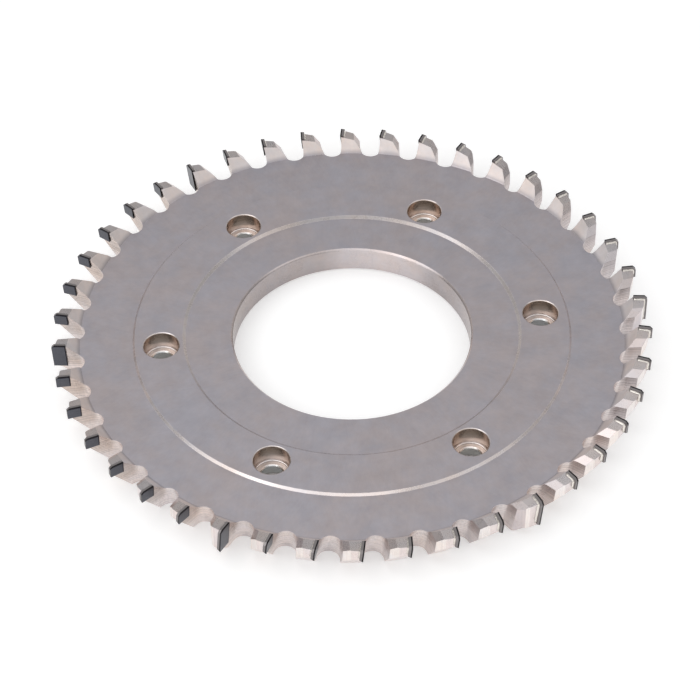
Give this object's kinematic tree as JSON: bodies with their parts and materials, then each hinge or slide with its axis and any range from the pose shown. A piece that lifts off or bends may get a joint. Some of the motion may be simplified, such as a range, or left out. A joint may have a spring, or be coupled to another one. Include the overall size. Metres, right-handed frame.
{
  "type": "hogger saw blade",
  "caption": "Steel hogger disc with a large bore, a raised ring of counterbored bolt holes, and a crowned rim of brazed cutting tips in round slanted gullets.",
  "frame": {"origin": "centre of the bore on the flat seating face, at the lowest point of the part", "axes": "+Z along the bore axis towards the clamping ring and the tips, +X through a bolt hole and a tall tip; the teeth cut counter-clockwise seen from +Z"},
  "size_m": [0.2506, 0.2498, 0.018],
  "materials": {
    "blade_steel": "satin ground",
    "cutting_tip": "lapped dark grey"
  },
  "bodies": {
    "root": {"blade_body": "blade_steel", "finishing_tip_1": "cutting_tip", "finishing_tip_2": "cutting_tip", "finishing_tip_3": "cutting_tip", "finishing_tip_4": "cutting_tip", "finishing_tip_5": "cutting_tip", "finishing_tip_6": "cutting_tip", "hogging_tip_01": "cutting_tip", "hogging_tip_02": "cutting_tip", "hogging_tip_03": "cutting_tip", "hogging_tip_04": "cutting_tip", "hogging_tip_05": "cutting_tip", "hogging_tip_06": "cutting_tip", "hogging_tip_07": "cutting_tip", "hogging_tip_08": "cutting_tip", "hogging_tip_09": "cutting_tip", "hogging_tip_10": "cutting_tip", "hogging_tip_11": "cutting_tip", "hogging_tip_12": "cutting_tip", "hogging_tip_13": "cutting_tip", "hogging_tip_14": "cutting_tip", "hogging_tip_15": "cutting_tip", "hogging_tip_16": "cutting_tip", "hogging_tip_17": "cutting_tip", "hogging_tip_18": "cutting_tip", "hogging_tip_19": "cutting_tip", "hogging_tip_20": "cutting_tip", "hogging_tip_21": "cutting_tip", "hogging_tip_22": "cutting_tip", "hogging_tip_23": "cutting_tip", "hogging_tip_24": "cutting_tip", "hogging_tip_25": "cutting_tip", "hogging_tip_26": "cutting_tip", "hogging_tip_27": "cutting_tip", "hogging_tip_28": "cutting_tip", "hogging_tip_29": "cutting_tip", "hogging_tip_30": "cutting_tip", "hogging_tip_31": "cutting_tip", "hogging_tip_32": "cutting_tip", "hogging_tip_33": "cutting_tip", "hogging_tip_34": "cutting_tip", "hogging_tip_35": "cutting_tip", "hogging_tip_36": "cutting_tip"}
  },
  "joints": []
}
